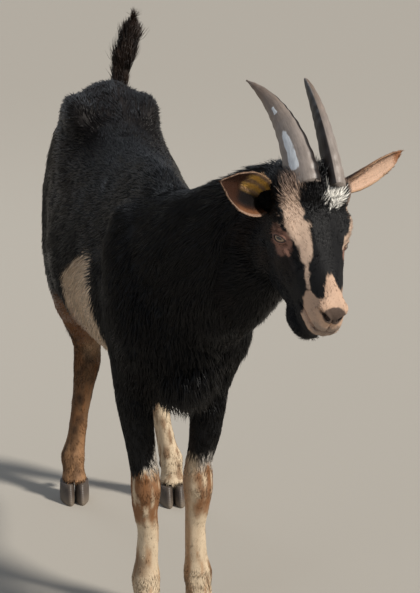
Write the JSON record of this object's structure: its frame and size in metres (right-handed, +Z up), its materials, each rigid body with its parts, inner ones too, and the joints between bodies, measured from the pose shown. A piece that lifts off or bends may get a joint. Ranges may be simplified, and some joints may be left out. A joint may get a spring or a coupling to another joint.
{
  "type": "standing goat figure",
  "caption": "Life-size standing goat with swept-back scimitar horns, upright tail and turned head; a still animal model that rests on its own hooves.",
  "frame": {"origin": "centre of the bounding box at the level of the soles", "axes": "+Z up, -Y the way the body faces, +X the goat's own left"},
  "size_m": [0.3792, 0.8714, 0.7168],
  "materials": {
    "coat": "glossy black hair",
    "leg_coat": "cream and rust hair",
    "ear": "short tan hair over skin",
    "horn": "ridged horn",
    "eye": "wet amber",
    "hoof": "worn hoof horn"
  },
  "bodies": {
    "root": {"trunk": "coat", "neck": "coat", "head": "coat", "tail": "coat", "ear_right": "ear", "horn_right": "horn", "eye_right": "eye", "foreleg_right_upper": "coat", "foreleg_right_lower": "leg_coat", "foreleg_right_claw_outer": "hoof", "foreleg_right_dewclaw_outer": "hoof", "foreleg_right_claw_inner": "hoof", "foreleg_right_dewclaw_inner": "hoof", "hindleg_right_upper": "coat", "hindleg_right_lower": "leg_coat", "hindleg_right_claw_outer": "hoof", "hindleg_right_dewclaw_outer": "hoof", "hindleg_right_claw_inner": "hoof", "hindleg_right_dewclaw_inner": "hoof", "ear_left": "ear", "horn_left": "horn", "eye_left": "eye", "foreleg_left_upper": "coat", "foreleg_left_lower": "leg_coat", "foreleg_left_claw_outer": "hoof", "foreleg_left_dewclaw_outer": "hoof", "foreleg_left_claw_inner": "hoof", "foreleg_left_dewclaw_inner": "hoof", "hindleg_left_upper": "coat", "hindleg_left_lower": "leg_coat", "hindleg_left_claw_outer": "hoof", "hindleg_left_dewclaw_outer": "hoof", "hindleg_left_claw_inner": "hoof", "hindleg_left_dewclaw_inner": "hoof"}
  },
  "joints": []
}
